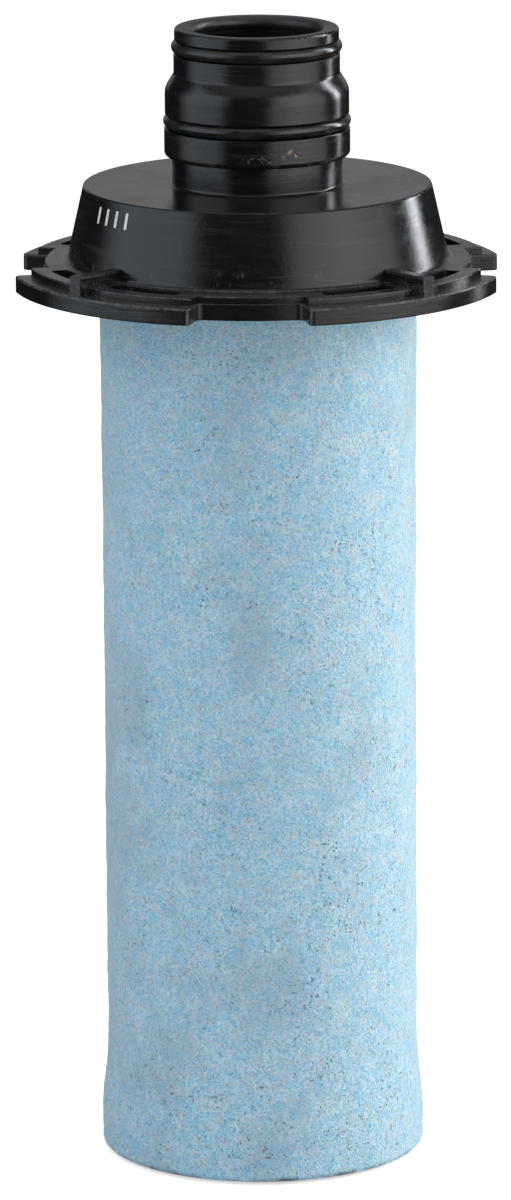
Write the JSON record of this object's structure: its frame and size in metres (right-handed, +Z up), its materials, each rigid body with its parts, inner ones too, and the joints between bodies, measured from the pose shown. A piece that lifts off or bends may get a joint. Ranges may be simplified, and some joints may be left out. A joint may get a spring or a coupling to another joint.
{
  "type": "compressed-air filter and silencer cartridge",
  "caption": "Tall foam-sleeved air filter and silencer cartridge with a black moulded top cap: O-ring spigot, conical hat and lugged bayonet flange.",
  "frame": {"origin": "centre of the bottom face, on the cartridge axis", "axes": "+Z up along the axis to the spigot; a bayonet notch faces -Y, and the other three face +X, +Y and -X"},
  "size_m": [0.1112, 0.1112, 0.2677],
  "materials": {
    "cap_plastic": "black glass-filled moulded plastic, semi-gloss, lightly scuffed",
    "o_ring_rubber": "black nitrile rubber with a thin film of grease",
    "drain_foam": "light blue open-cell foam with mid-blue flecks, matt and slightly fuzzy",
    "support_steel": "perforated stainless sheet",
    "liner_cloth": "white non-woven polyester",
    "media_paper": "white pleated glass-fibre paper",
    "resin": "dark cast polyurethane resin, smooth"
  },
  "bodies": {
    "root": {"top_cap": "cap_plastic", "upper_o_ring": "o_ring_rubber", "lower_o_ring": "o_ring_rubber", "foam_sleeve": "drain_foam", "bottom_cap": "cap_plastic", "inner_support": "support_steel", "outer_support": "support_steel", "inner_liner": "liner_cloth", "pleated_media": "media_paper", "top_potting": "resin", "bottom_potting": "resin"}
  },
  "joints": []
}
